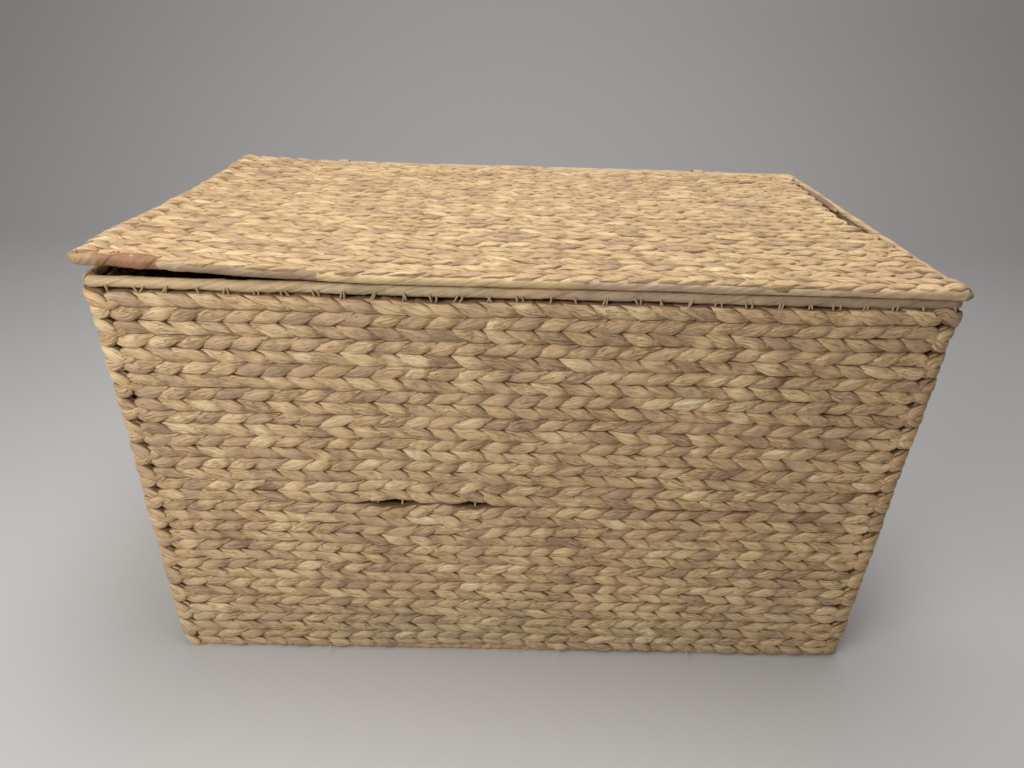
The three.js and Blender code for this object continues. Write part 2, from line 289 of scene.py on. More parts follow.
class Grower:
    """A geometry node tree that turns lines into a finished mesh."""

    def __init__(self, name: str, sizes: dict[str, float | int]) -> None:
        """Makes the tree with a line, a finish and named sizes as its inputs.

        Args:
            name: The tree's name.
            sizes: Names of the sizes with their usual values; whole numbers become counts.
        """
        tree = bpy.data.node_groups.new(name, "GeometryNodeTree")
        self.graph = Graph(tree)
        self.identifiers: dict[str, str] = {}
        self.add_input("Line", "NodeSocketGeometry")
        self.add_input("Finish", "NodeSocketMaterial")
        for label, value in sizes.items():
            kind = "NodeSocketInt" if isinstance(value, int) else "NodeSocketFloat"
            self.add_input(label, kind).default_value = value
        tree.interface.new_socket("Mesh", in_out="OUTPUT", socket_type="NodeSocketGeometry")
        self.inputs = tree.nodes.new("NodeGroupInput")

    def add_input(self, label: str, kind: str) -> bpy.types.NodeTreeInterfaceSocket:
        """Adds a named input to the tree.

        Args:
            label: Its name.
            kind: Its socket type.

        Returns:
            The new socket.
        """
        socket = self.graph.tree.interface.new_socket(label, in_out="INPUT", socket_type=kind)
        self.identifiers[label] = socket.identifier
        return socket

    def given(self, label: str) -> Sock:
        """An input of the tree, by its name."""
        return Sock(self.graph, self.inputs.outputs[label])

    def carried(self, name: str, kind: str = "FLOAT") -> Sock:
        """A value that every point of the line carries."""
        settings = {"data_type": kind}
        return self.graph.add("GeometryNodeInputNamedAttribute", settings, {"Name": name})

    def direction(self, name: str) -> Sock:
        """A direction that every point of the line carries."""
        return self.carried(name, "FLOAT_VECTOR")

    def store(self, geometry: Sock, name: str, value: Sock, kind: str = "FLOAT") -> Sock:
        """Keeps a value on every point under a name."""
        inputs = {"Geometry": geometry, "Name": name, "Value": value}
        return self.graph.add("GeometryNodeStoreNamedAttribute", {"data_type": kind}, inputs)

    def outline(self, sides: Sock | int, width: Sock, height: Sock, flat: float = 1.0) -> Sock:
        """A closed oval outline that remembers its unit circle as rim.

        Args:
            sides: How many points it has.
            width: Half its size along X.
            height: Half its size along Y.
            flat: 1 for an oval, less for flatter faces along X.

        Returns:
            The outline as a curve.
        """
        add = self.graph.add
        unit = {"Resolution": sides, "Radius": 1.0}
        circle = add("GeometryNodeCurvePrimitiveCircle", None, unit, "Curve")
        place = add("GeometryNodeInputPosition")
        circle = self.store(circle, "rim", place, "FLOAT_VECTOR")
        reach = self.graph.part(place, "X")
        reach = reach.math("SIGN") * reach.math("ABSOLUTE") ** flat
        oval = self.graph.combine(reach * width, self.graph.part(place, "Y") * height, 0.0)
        return add("GeometryNodeSetPosition", None, {"Geometry": circle, "Position": oval})

    def sweep(self, curve: Sock, profile: Sock, girth: Sock) -> Sock:
        """A closed skin along a curve."""
        inputs = {"Curve": curve, "Profile Curve": profile, "Scale": girth, "Fill Caps": True}
        return self.graph.add("GeometryNodeCurveToMesh", None, inputs)

    def push(self, geometry: Sock, offset: Sock) -> Sock:
        """Moves every point by its own offset."""
        inputs = {"Geometry": geometry, "Offset": offset}
        return self.graph.add("GeometryNodeSetPosition", None, inputs)

    def end(self, mesh: Sock) -> None:
        """Realises, smooths and dresses the mesh, and makes it the tree's result.

        Args:
            mesh: The mesh.
        """
        add = self.graph.add
        mesh = add("GeometryNodeRealizeInstances", None, {"Geometry": mesh})
        mesh = add("GeometryNodeSetShadeSmooth", None, {"Geometry": mesh})
        dress = {"Geometry": mesh, "Material": self.given("Finish")}
        mesh = add("GeometryNodeSetMaterial", None, dress)
        add("NodeGroupOutput", None, {"Mesh": mesh})

    def grow(
        self, name: str, lines: list[Line], finish: Material, **sizes: float | int
    ) -> Object:
        """Grows a plain mesh object from lines.

        Args:
            name: The piece's name.
            lines: The lines that the tree follows.
            finish: The piece's material.
            sizes: Values of the tree's inputs, with _ for a space.

        Returns:
            The finished piece, with no modifier on it.
        """
        holder = bpy.data.objects.new(f"{name}_line", line_mesh(f"{name}_line", lines))
        bpy.context.scene.collection.objects.link(holder)
        modifier = holder.modifiers.new("grow", "NODES")
        modifier.node_group = self.graph.tree
        modifier[self.identifiers["Finish"]] = finish
        for label, value in sizes.items():
            modifier[self.identifiers[label.replace("_", " ")]] = value
        graph = bpy.context.evaluated_depsgraph_get()
        mesh = bpy.data.meshes.new_from_object(
            holder.evaluated_get(graph), preserve_all_data_layers=True, depsgraph=graph
        )
        bpy.data.objects.remove(holder)
        mesh.name = name
        piece = bpy.data.objects.new(name, mesh)
        bpy.context.scene.collection.objects.link(piece)
        return piece


class StrandGrower(Grower):
    """Strands along lines: two that twine round each other, or one alone."""

    FRONT_HOLD: ClassVar[float] = 3.5
    FLATNESS: ClassVar[float] = 0.36
    DRIFT_SCALE: ClassVar[float] = 46.0
    SWELL_SCALE: ClassVar[float] = 55.0

    def __init__(self) -> None:
        """Builds the tree."""
        sizes = {
            "Strands": 2,
            "Rise": 2.4 * MM,
            "Width": 13.2 * MM,
            "Thickness": 10.6 * MM,
            "Pinch": 0.50,
            "Bulge": 0.06,
            "Sides": 10,
            "Wobble": 1.6 * MM,
            "Swell": 0.28,
            "Seed": 1.0,
        }
        super().__init__("strands", sizes)
        graph = self.graph
        add = graph.add
        curve = add("GeometryNodeMeshToCurve", None, {"Mesh": self.given("Line")})
        copies = {"Geometry": curve, "Amount": self.given("Strands")}
        curve = add("GeometryNodeDuplicateElements", {"domain": "SPLINE"}, copies)
        which = curve.other("Duplicate Index")
        code = self.carried("row") * 7.13 + which * 3.77 + self.given("Seed")
        curve = self.store(curve, "strand", code)
        angle = self.carried("turn") + which * math.pi
        outward = self.direction("outward")
        across = self.direction("across")
        front = (angle.math("COSINE") * self.FRONT_HOLD).math("TANH")
        slant = angle.math("SINE").math("ARCSINE") * (2.0 / math.pi)
        crossing = slant.math("ABSOLUTE")
        depth = graph.vector("SCALE", outward, self.carried("depth") * front)
        climb = self.given("Rise") * crossing * slant.math("SIGN")
        rise = graph.vector("SCALE", across, climb)
        place = add("GeometryNodeInputPosition")
        drift = graph.noise(place, code, self.DRIFT_SCALE).other("Color")
        drift = graph.vector("SUBTRACT", drift, (0.5, 0.5, 0.5))
        drift = graph.vector("SCALE", drift, self.given("Wobble") * 2.0)
        offset = graph.vector("ADD", graph.vector("ADD", depth, rise), drift)
        facing = {"Curve": curve, "Normal": outward}
        curve = self.push(add("GeometryNodeSetCurveNormal", {"mode": "FREE"}, facing), offset)
        curve = self.store(curve, "core", place, "FLOAT_VECTOR")
        curve = self.store(curve, "crossing", crossing)
        half_depth = self.given("Thickness") / 2.0
        half_width = self.given("Width") / 2.0
        oval = self.outline(self.given("Sides"), half_depth, half_width, self.FLATNESS)
        swell = graph.noise(place, code + 50.0, self.SWELL_SCALE, 1.0) - 0.5
        swell = swell * self.given("Swell") * 2.0 + 1.0
        mesh = self.sweep(curve, oval, swell * self.carried("girth"))
        spread = graph.vector("SUBTRACT", place, self.direction("core"))
        held = self.carried("crossing")
        draw_in = self.part_along(spread, across, held * self.given("Pinch") * -1.0)
        push_out = self.part_along(spread, outward, held * self.given("Bulge"))
        self.end(self.push(mesh, graph.vector("ADD", draw_in, push_out)))

    def part_along(self, spread: Sock, way: Sock, share: Sock) -> Sock:
        """A share of what a vector has along a direction.

        Args:
            spread: The vector.
            way: The direction.
            share: The share.

        Returns:
            A vector along the direction.
        """
        settings = {"operation": "DOT_PRODUCT"}
        reach = self.graph.add("ShaderNodeVectorMath", settings, {0: spread, 1: way}, "Value")
        return self.graph.vector("SCALE", way, reach * share)


class WrapGrower(Grower):
    """A rod's leaf wrap: a tube whose strip laps over itself as it winds."""

    CRUMPLE_SCALE: ClassVar[float] = 160.0

    def __init__(self) -> None:
        """Builds the tree."""
        sizes = {
            "Radius": 3.6 * MM,
            "Sides": 14,
            "Pitch": 60 * MM,
            "Ridge": 0.7 * MM,
            "Crumple": 1.3 * MM,
            "Seed": 1.0,
        }
        super().__init__("leaf_wraps", sizes)
        graph = self.graph
        add = graph.add
        curve = add("GeometryNodeMeshToCurve", None, {"Mesh": self.given("Line")})
        facing = {"Curve": curve, "Normal": self.direction("outward")}
        curve = add("GeometryNodeSetCurveNormal", {"mode": "FREE"}, facing)
        circle = self.outline(self.given("Sides"), self.given("Radius"), self.given("Radius"))
        mesh = self.sweep(curve, circle, self.carried("girth"))
        rim = self.direction("rim")
        around = graph.part(rim, "Y").math("ARCTAN2", graph.part(rim, "X")) / math.tau
        lap = (self.carried("along") / self.given("Pitch") + around).math("FRACT")
        place = add("GeometryNodeInputPosition")
        crumple = graph.noise(place, self.given("Seed"), self.CRUMPLE_SCALE, 3.0) - 0.5
        swell = self.given("Ridge") * (lap - 0.5) + self.given("Crumple") * crumple
        self.end(self.push(mesh, graph.vector("SCALE", add("GeometryNodeInputNormal"), swell)))


class TieGrower(Grower):
    """Thin thread loops that stand on the points of a line."""

    LOOP_SIDES: ClassVar[int] = 14
    THREAD_SIDES: ClassVar[int] = 6

    def __init__(self) -> None:
        """Builds the tree."""
        sizes = {
            "Half Width": 5.1 * MM,
            "Half Height": 5.8 * MM,
            "Thread": 0.70 * MM,
            "Jitter": 0.5,
            "Seed": 1,
        }
        super().__init__("ties", sizes)
        graph = self.graph
        add = graph.add
        loop = self.outline(self.LOOP_SIDES, self.given("Half Width"), self.given("Half Height"))
        thread = {"Resolution": self.THREAD_SIDES, "Radius": self.given("Thread")}
        thread = add("GeometryNodeCurvePrimitiveCircle", None, thread, "Curve")
        loop = add("GeometryNodeCurveToMesh", None, {"Curve": loop, "Profile Curve": thread})
        limits = {"Min": (-1.0, -1.0, -1.0), "Max": (1.0, 1.0, 1.0), "Seed": self.given("Seed")}
        shake = add("FunctionNodeRandomValue", {"data_type": "FLOAT_VECTOR"}, limits)
        shake = graph.vector("SCALE", shake, self.given("Jitter"))
        outward = self.direction("outward")
        along = graph.vector("CROSS_PRODUCT", outward, self.direction("across"))
        axes = {"Primary Axis": graph.vector("ADD", along, shake), "Secondary Axis": outward}
        settings = {"primary_axis": "Z", "secondary_axis": "X"}
        stand = {
            "Points": self.given("Line"),
            "Instance": loop,
            "Rotation": add("FunctionNodeAxesToRotation", settings, axes),
            "Scale": self.carried("girth"),
        }
        self.end(add("GeometryNodeInstanceOnPoints", None, stand))


@dataclass
class Growers:
    """The three node trees that the pieces share."""

    strands: StrandGrower = field(default_factory=StrandGrower)
    wraps: WrapGrower = field(default_factory=WrapGrower)
    ties: TieGrower = field(default_factory=TieGrower)


@dataclass(frozen=True)
class Plan:
    """The rounded rectangle that the frame's rods and the wall's rows follow, from the front left on."""

    half_x: float
    half_y: float
    radius: float

    @property
    def length(self) -> float:
        """Once round."""
        return 4 * (self.half_x + self.half_y - 2 * self.radius) + math.tau * self.radius

    @property
    def arc(self) -> float:
        """The length of a corner."""
        return self.radius * math.pi / 2

    def span(self, side: int) -> float:
        """The straight length of a side."""
        return 2 * ((self.half_x, self.half_y)[side % 2] - self.radius)

    def at(self, distance: float) -> tuple[Vector, Vector]:
        """A point and its outward direction.

        Args:
            distance: How far round, counter-clockwise from the front side's left end.

        Returns:
            The point in plan and the outward direction.
        """
        left = distance % self.length
        for side in range(4):
            span = self.span(side)
            turn = Matrix.Rotation(side * math.pi / 2, 3, "Z")
            reach = (self.half_y, self.half_x)[side % 2]
            if left < span:
                return turn @ Vector((left - span / 2, -reach, 0)), turn @ FORWARD
            left -= span
            if left < self.arc:
                angle = left / self.radius
                out = Vector((math.sin(angle), -math.cos(angle), 0))
                centre = Vector((span / 2, self.radius - reach, 0))
                return turn @ (centre + out * self.radius), turn @ out
            left -= self.arc
        raise ValueError(distance)

    def corner(self, number: int) -> float:
        """Distance to the middle of a corner, from the front right one on."""
        return sum(self.span(i) for i in range(number + 1)) + self.arc * (number + 0.5)

    def stitches(self, stitch: float) -> int:
        """An even number of stitches that fits once round."""
        return 2 * round(self.length / stitch / 2)


def bump(value: float, middle: float, half: float) -> float:
    """A smooth hill of height 1 about a middle."""
    return math.exp(-(((value - middle) / half) ** 2))


def shelf(value: float, low: float, high: float, ease: float) -> float:
    """A smooth plateau of height 1 between two ends."""
    return 0.5 * (math.tanh((value - low) / ease) - math.tanh((value - high) / ease))


def waver(x: float, y: float, z: float) -> float:
    """A smooth value between about -1 and 1 that a place sets."""
    return noise.noise(Vector((x, y, z)))


def settle(piece: Object, body: Body, slot: Slot, *nodes: str) -> None:
    """Joins a finished piece to the frame and reports it.

    Args:
        piece: The piece.
        body: The body that it rides on.
        slot: The record's material slot; not used.
        nodes: The nodes of the frame that it stands for.
    """
    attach(piece, body.value)
    if nodes:
        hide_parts(*nodes)
    LOG.info("%s: %d faces on %s", piece.name, len(piece.data.polygons), body.value)


@dataclass(frozen=True)
class Finish:
    """A procedural material that ends in one surface shader."""

    name: str

    def paint(self, graph: Graph) -> dict[str, Any]:
        """The inputs of the surface shader."""
        raise NotImplementedError

    def make(self) -> Material:
        """Builds the material.

        Returns:
            The material.
        """
        material = bpy.data.materials.new(self.name)
        material.use_nodes = True
        material.node_tree.nodes.clear()
        graph = Graph(material.node_tree)
        surface = graph.add("ShaderNodeBsdfPrincipled", None, self.paint(graph))
        graph.add("ShaderNodeOutputMaterial", None, {"Surface": surface})
        return material


@dataclass(frozen=True)
class StrandFinish(Finish):
    """Dried leaf strands: tone changes along each strand, with fibres, pale and reddish stretches."""

    deep: Colour = (0.330, 0.190, 0.095)
    dull: Colour = (0.500, 0.330, 0.195)
    tan: Colour = (0.680, 0.455, 0.235)
    straw: Colour = (0.800, 0.580, 0.310)
    pale: Colour = (0.840, 0.670, 0.400)
    russet: Colour = (0.420, 0.190, 0.085)
    green: Colour = (0.480, 0.410, 0.240)
    # The next two colours are painted shade: brown, then near black, for the gaps at each strand's edges.
    joint_shade: Colour = (0.115, 0.050, 0.014)
    contact_shadow: Colour = (0.022, 0.010, 0.004)
    contrast: float = 0.70
    # How strong the painted shade at the strand's edges is.
    hollow_shade: float = 0.82
    blush: float = 0.45
    damp: float = 0.40
    bleach: float = 0.22
    crease_shade: float = 0.32
    speck_shade: float = 0.24
    tuck_shade: float = 0.06
    relief: float = 1.4 * MM

    def paint(self, graph: Graph) -> dict[str, Any]:
        """Lays tone and fibres over the strand, with painted shade at its edges and where it tucks under.

        Args:
            graph: The material's graph. It reads what the strand grower leaves on the mesh.

        Returns:
            The inputs of the surface shader.
        """
        along = graph.attribute("along")
        strand = graph.attribute("strand")
        rim = graph.attribute("rim", "Vector")
        depth = graph.part(rim, "X")
        width = graph.part(rim, "Y")
        place = graph.add("ShaderNodeTexCoord", None, None, "Object")
        run = graph.combine(along, 0.0, 0.0)
        tone = (graph.noise(run, strand, 26.0, 1.0) - 0.5) * (2.7 * self.contrast) + 0.5
        tones = (self.deep, self.dull, self.tan, self.straw, self.pale)
        colour = graph.ramp(tone, list(zip((0.0, 0.24, 0.52, 0.78, 1.0), tones)))
        red = graph.noise(run, strand + 37.0, 24.0, 1.0).fade(0.62, 0.76)
        colour = graph.mix(red * self.blush, colour, self.russet)
        foot = 1.0 - graph.part(place, "Z").fade(0.01, 0.11)
        damp = foot * graph.noise(place, 4.0, 9.0).fade(0.3, 0.7)
        colour = graph.mix(damp * self.damp, colour, self.green)

        def grain(stretch: float, spread: float) -> Sock:
            """A place on the strand, drawn out along it."""
            return graph.combine(along * stretch, depth * spread, width * spread)

        ribbon = grain(22.0, 1.5)
        fibre = graph.noise(ribbon, strand + 11.0, 2.4, 4.0)
        fine = graph.noise(grain(60.0, 3.2), strand + 23.0, 2.2, 3.0)
        bleached = graph.noise(run, strand + 61.0, 34.0, 1.0).fade(0.60, 0.78)
        colour = graph.mix(bleached * fibre.fade(0.45, 0.65) * self.bleach, colour, self.pale)
        vein = (graph.noise(grain(40.0, 1.0), strand + 71.0, 2.0, 1.0) - 0.5).math("ABSOLUTE")
        creased = graph.noise(run, strand + 83.0, 40.0, 1.0).fade(0.38, 0.60)
        crease = (1.0 - vein.fade(0.01, 0.07)) * creased
        speck = graph.noise(grain(90.0, 2.6), strand + 91.0, 2.2, 1.0).fade(0.60, 0.72)
        # Painted shade where each strand turns to tuck under its neighbour.
        tuck_shadow_mask = graph.attribute("crossing").fade(0.70, 1.0)
        shade = (0.18 + fibre * 1.16 + fine * 0.66) * (1.0 - crease * self.crease_shade)
        shade = shade * (1.0 - speck * self.speck_shade) * (1.0 - tuck_shadow_mask * self.tuck_shade)
        warm = graph.combine(shade**0.85, shade, shade**1.35)
        colour = graph.mix(1.0, colour, warm, "MULTIPLY")
        # Painted shade: each strand darkens towards its edges, first to brown and at the very edge to
        # near black, where it meets its neighbours.
        side = width.math("ABSOLUTE")
        colour = graph.mix(side.fade(0.70, 0.96) * self.hollow_shade, colour, self.joint_shade)
        colour = graph.mix(side.fade(0.95, 1.0) * self.hollow_shade, colour, self.contact_shadow)
        height = fibre * 0.6 + fine * 0.5 - crease * 0.3 - speck * 0.3
        return {
            "Base Color": colour,
            "Roughness": 0.50 + fibre * 0.25,
            "Normal": graph.emboss(height, 1.0, self.relief),
            "Specular IOR Level": 0.38,
        }


class Stretch(NamedTuple):
    """A length of a front wrap, along X in millimetres, with its own colour; some of these colours also
    hold painted shade.
    """

    low: float
    high: float
    colour: Colour


@dataclass(frozen=True)
class WrapFinish(Finish):
    """Leaf strips round a rod: each length has its own tone, and stretches along X their own colour."""

    dark: Colour = (0.360, 0.230, 0.125)
    grey: Colour = (0.470, 0.335, 0.205)
    tan: Colour = (0.600, 0.415, 0.225)
    pale: Colour = (0.720, 0.540, 0.320)
    length: float = 120 * MM
    pitch: float = 60 * MM
    lap_shade: float = 0.5
    relief: float = 1.6 * MM
    seam: float = 2 * MM
    stretches: tuple[Stretch, ...] = ()

    def paint(self, graph: Graph) -> dict[str, Any]:
        """Lays tone, laps and fibres over the wrap.

        Args:
            graph: The material's graph. It reads what the wrap grower leaves on the mesh.

        Returns:
            The inputs of the surface shader.
        """
        along = graph.attribute("along")
        rim = graph.attribute("rim", "Vector")
        around = graph.part(rim, "Y").math("ARCTAN2", graph.part(rim, "X")) / math.tau
        helix = along / self.pitch + around
        lap = helix.math("FRACT")
        piece = (along / self.length + around * 0.25).math("FLOOR")
        tone = graph.add("ShaderNodeTexWhiteNoise", {"noise_dimensions": "1D"}, {"W": piece})
        ribbon = graph.combine(helix * 4.0, along * 14.0, 0.0)
        fibre = graph.noise(ribbon, piece, 2.2, 4.0)
        place = graph.add("ShaderNodeTexCoord", None, None, "Object")
        patch = graph.noise(place, 9.0, 60.0, 3.0)
        stops = [(0.0, self.dark), (0.3, self.grey), (0.6, self.tan), (1.0, self.pale)]
        colour = graph.ramp(tone * 0.5 + fibre * 0.5 + patch * 0.5 - 0.25, stops)
        x = graph.part(place, "X") + around * 0.005 + (patch - 0.5) * 0.02
        for stretch in self.stretches:
            low = stretch.low * MM
            high = stretch.high * MM
            inside = x.fade(low - self.seam, low + self.seam)
            inside = inside * (1.0 - x.fade(high - self.seam, high + self.seam))
            colour = graph.mix(inside * (0.30 + patch * 0.8), colour, stretch.colour)
        shade = 0.44 + fibre * 0.72 + patch * 0.40
        shade = shade * (1.0 - (1.0 - lap.fade(0.0, 0.10)) * self.lap_shade)
        colour = graph.mix(1.0, colour, graph.combine(shade, shade, shade), "MULTIPLY")
        return {
            "Base Color": colour,
            "Roughness": 0.42 + fibre * 0.25,
            "Normal": graph.emboss(fibre * 0.9 + patch * 0.9, 0.8, self.relief),
            "Specular IOR Level": 0.42,
        }


@dataclass(frozen=True)
class ThreadFinish(Finish):
    """Pale twisted thread."""

    pale: Colour = (0.720, 0.620, 0.440)
    dull: Colour = (0.480, 0.380, 0.240)

    def paint(self, graph: Graph) -> dict[str, Any]:
        """Lays fibres and patches over the thread, on Object coordinates.

        Args:
            graph: The material's graph.

        Returns:
            The inputs of the surface shader.
        """
        place = graph.add("ShaderNodeTexCoord", None, None, "Object")
        patch = graph.noise(place, 2.0, 90.0)
        fibre = graph.noise(place, 5.0, 900.0, 3.0)
        tone = patch * 0.7 + fibre * 0.6 - 0.15
        return {
            "Base Color": graph.ramp(tone, [(0.2, self.dull), (0.8, self.pale)]),
            "Roughness": 0.62 + fibre * 0.2,
            "Normal": graph.emboss(fibre, 0.5, 0.4 * MM),
        }


@dataclass(frozen=True)
class SteelFinish(Finish):
    """Dull steel rod with a little rust."""

    steel: Colour = (0.100, 0.092, 0.085)
    rust: Colour = (0.200, 0.095, 0.040)

    def paint(self, graph: Graph) -> dict[str, Any]:
        """Lays rust over the steel, on Object coordinates.

        Args:
            graph: The material's graph.

        Returns:
            The inputs of the surface shader.
        """
        place = graph.add("ShaderNodeTexCoord", None, None, "Object")
        patch = graph.noise(place, 1.0, 60.0, 4.0).fade(0.48, 0.66)
        grain = graph.noise(place, 3.0, 700.0, 3.0)
        return {
            "Base Color": graph.mix(patch, self.steel, self.rust),
            "Metallic": 1.0 - patch * 0.9,
            "Roughness": 0.38 + patch * 0.35 + grain * 0.1,
            "Normal": graph.emboss(grain, 0.3, 0.3 * MM),
        }


@dataclass
class WallTwine:
    """The twined rows round the four walls, one piece to each band of the frame."""

    plan: Plan
    growers: Growers
    finish: Material
    stitch: float = 19.6 * MM
    steps: int = 8
    depth: float = 1.0 * MM
    foot: float = 2.5 * MM
    foot_depth: float = 1.4 * MM
    head: float = -0.4 * MM
    flare: float = 1.6 * MM
    tuck: float = 1.5 * MM
    sway: float = 0.7 * MM
    long_stray: float = 0.6 * MM
    short_stray: float = 0.5 * MM
    hole: float = 3.2 * MM
    hole_reach: float = 3.8 * MM
    hole_inset: float = 9.5 * MM
    parting: float = 5.0 * MM
    parting_z: float = 169 * MM
    parting_fade: float = 40 * MM
    parting_lobes: tuple[Spot, ...] = ((-101 * MM, 24 * MM), (-35 * MM, 14 * MM))
    bare: float = 4.6 * MM
    bare_span: Spot = (-99 * MM, 10 * MM)
    snug: float = 1.6 * MM
    snug_from: float = 225 * MM
    slit: float = 1.8 * MM
    slit_span: Spot = (-84 * MM, -24 * MM)
    row_fade: float = 0.8

    @cached_property
    def bands(self) -> list[str]:
        """Names of the frame's wall bands, from the floor up."""
        return sorted(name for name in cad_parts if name.startswith("weft_band"))

    @cached_property
    def levels(self) -> list[tuple[str, float]]:
        """Every row's band and the height of its middle, from the floor up.

        Returns:
            Pairs of a band's name and a height. The rows are spread from the floor to the rim.
        """
        names = self.bands
        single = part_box(names[-1])[1].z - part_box(names[-1])[0].z
        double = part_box(names[0])[1].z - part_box(names[0])[0].z
        counts = [2] * (len(names) - 1) + [2 if single > 0.75 * double else 1]
        owners = [name for name, count in zip(names, counts) for _ in range(count)]
        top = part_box(names[-1])[1].z + self.head
        pitch = (top - self.foot) / len(owners)
        return [(owner, self.foot + pitch * (i + 0.5)) for i, owner in enumerate(owners)]

    def top_share(self, row: int) -> float:
        """How much a row takes part in what the top row does, 1 for the top row."""
        return math.exp(-(len(self.levels) - 1 - row) * self.row_fade)

    def shift(self, row: int, z: float, distance: float, point: Vector) -> float:
        """How far a row strays up or down at a point.

        Args:
            row: The row's number from the floor.
            z: The height of its middle.
            distance: How far round the point is.
            point: The point in plan.

        Returns:
            The stray, in metres.
        """
        stray = self.long_stray * waver(point.x * 9, point.y * 9, z * 14)
        stray += self.short_stray * waver(point.x * 35, point.y * 35, z * 60)
        parity = 1.0 if row % 2 else -1.0
        once = self.plan.length
        for corner in range(4):
            sign = -parity if corner % 2 == 0 else parity
            middle = self.plan.corner(corner)
            for side in (-self.hole_inset, self.hole_inset):
                gap = (distance - middle - side + once / 2) % once - once / 2
                stray += sign * self.hole * bump(gap, 0.0, self.hole_reach)
        if point.y < 0 and abs(point.y) > self.plan.half_y - 2 * MM:
            stray += self.front_shift(row, z, point.x)
        return stray

    def front_shift(self, row: int, z: float, x: float) -> float:
        """How far a row of the front wall strays where rows have parted, slipped or sunk.

        Args:
            row: The row's number from the floor.
            z: The height of its middle.
            x: The place along the wall.

        Returns:
            The stray, in metres.
        """
        lobes = sum(bump(x, middle, half) for middle, half in self.parting_lobes)
        away = z - self.parting_z
        stray = math.copysign(self.parting, away) * lobes * math.exp(-abs(away) / self.parting_fade)
        stray += self.bare * shelf(x, *self.bare_span, 9 * MM) * math.exp(-row * self.row_fade)
        stray += self.snug * shelf(x, self.snug_from, 1.0, 15 * MM) * self.top_share(row)
        stray -= self.slit * shelf(x, *self.slit_span, 12 * MM) * self.top_share(row)
        return stray

    def row_line(self, row: int, z: float) -> Line:
        """The centre line of one row.

        Args:
            row: The row's number from the floor.
            z: The height of its middle.

        Returns:
            The line from the rear left corner round to it, with a whole number of turns.
        """
        lay = Lay.FALLING if row % 2 == 0 else Lay.RISING
        halves = self.plan.stitches(self.stitch)
        count = halves * self.steps
        line = Line(row=float(row))
        start = self.plan.corner(2)
        foot = math.exp(-row * 1.1)
        lean = self.flare * self.top_share(row) - self.tuck * foot
        depth = self.depth + (self.foot_depth - self.depth) * foot
        for i in range(count + 1):
            share = i / count
            distance = start + share * self.plan.length
            point, outward = self.plan.at(distance)
            height = z + self.shift(row, z, distance, point)
            sway = self.sway * waver(point.x * 11, point.y * 11, z * 9 + 3.0)
            slip = 0.5 * waver(distance * 8, row * 3.1, 5.0)
            slip += 0.65 * waver(distance * 37, row * 2.7, 9.0)
            turn = halves * math.pi * share + slip * math.sin(math.pi * share)
            place = point + outward * (sway + lean) + UP * height
            line.put(place, outward, UP * lay.value, turn, distance, depth)
        return line

    def build(self) -> None:
        """Grows every band."""
        grow = self.growers.strands.grow
        for number, name in enumerate(self.bands):
            rows = [(row, z) for row, (owner, z) in enumerate(self.levels) if owner == name]
            lines = [self.row_line(row, z) for row, z in rows]
            piece = grow(f"wall_twine_{number + 1:02d}", lines, self.finish, Seed=float(number))
            settle(piece, Body.CHEST, Slot.STRAND, name)


@dataclass
class Lift:
    """How the sprung front left corner raises the lid."""

    height: float
    left: float
    front: float
    rear: float
    span: float = 240 * MM
    heave: float = 4 * MM
    heave_reach: Spot = (90 * MM, 70 * MM)

    def at(self, x: float, y: float) -> float:
        """The rise of the lid's rod.

        Args:
            x: The place along X.
            y: The place along Y.

        Returns:
            The rise.
        """
        along = min(1.0, max(0.0, 1 - (x - self.left) / self.span))
        forward = max(0.0, (self.rear - y) / (self.rear - self.front))
        return self.height * along**2 * forward

    def panel_at(self, x: float, y: float) -> float:
        """The rise of the lid's panel, which also stands up a little at the rear left corner."""
        reach_x, reach_y = self.heave_reach
        return self.at(x, y) + self.heave * bump(x, self.left, reach_x) * bump(y, self.rear, reach_y)


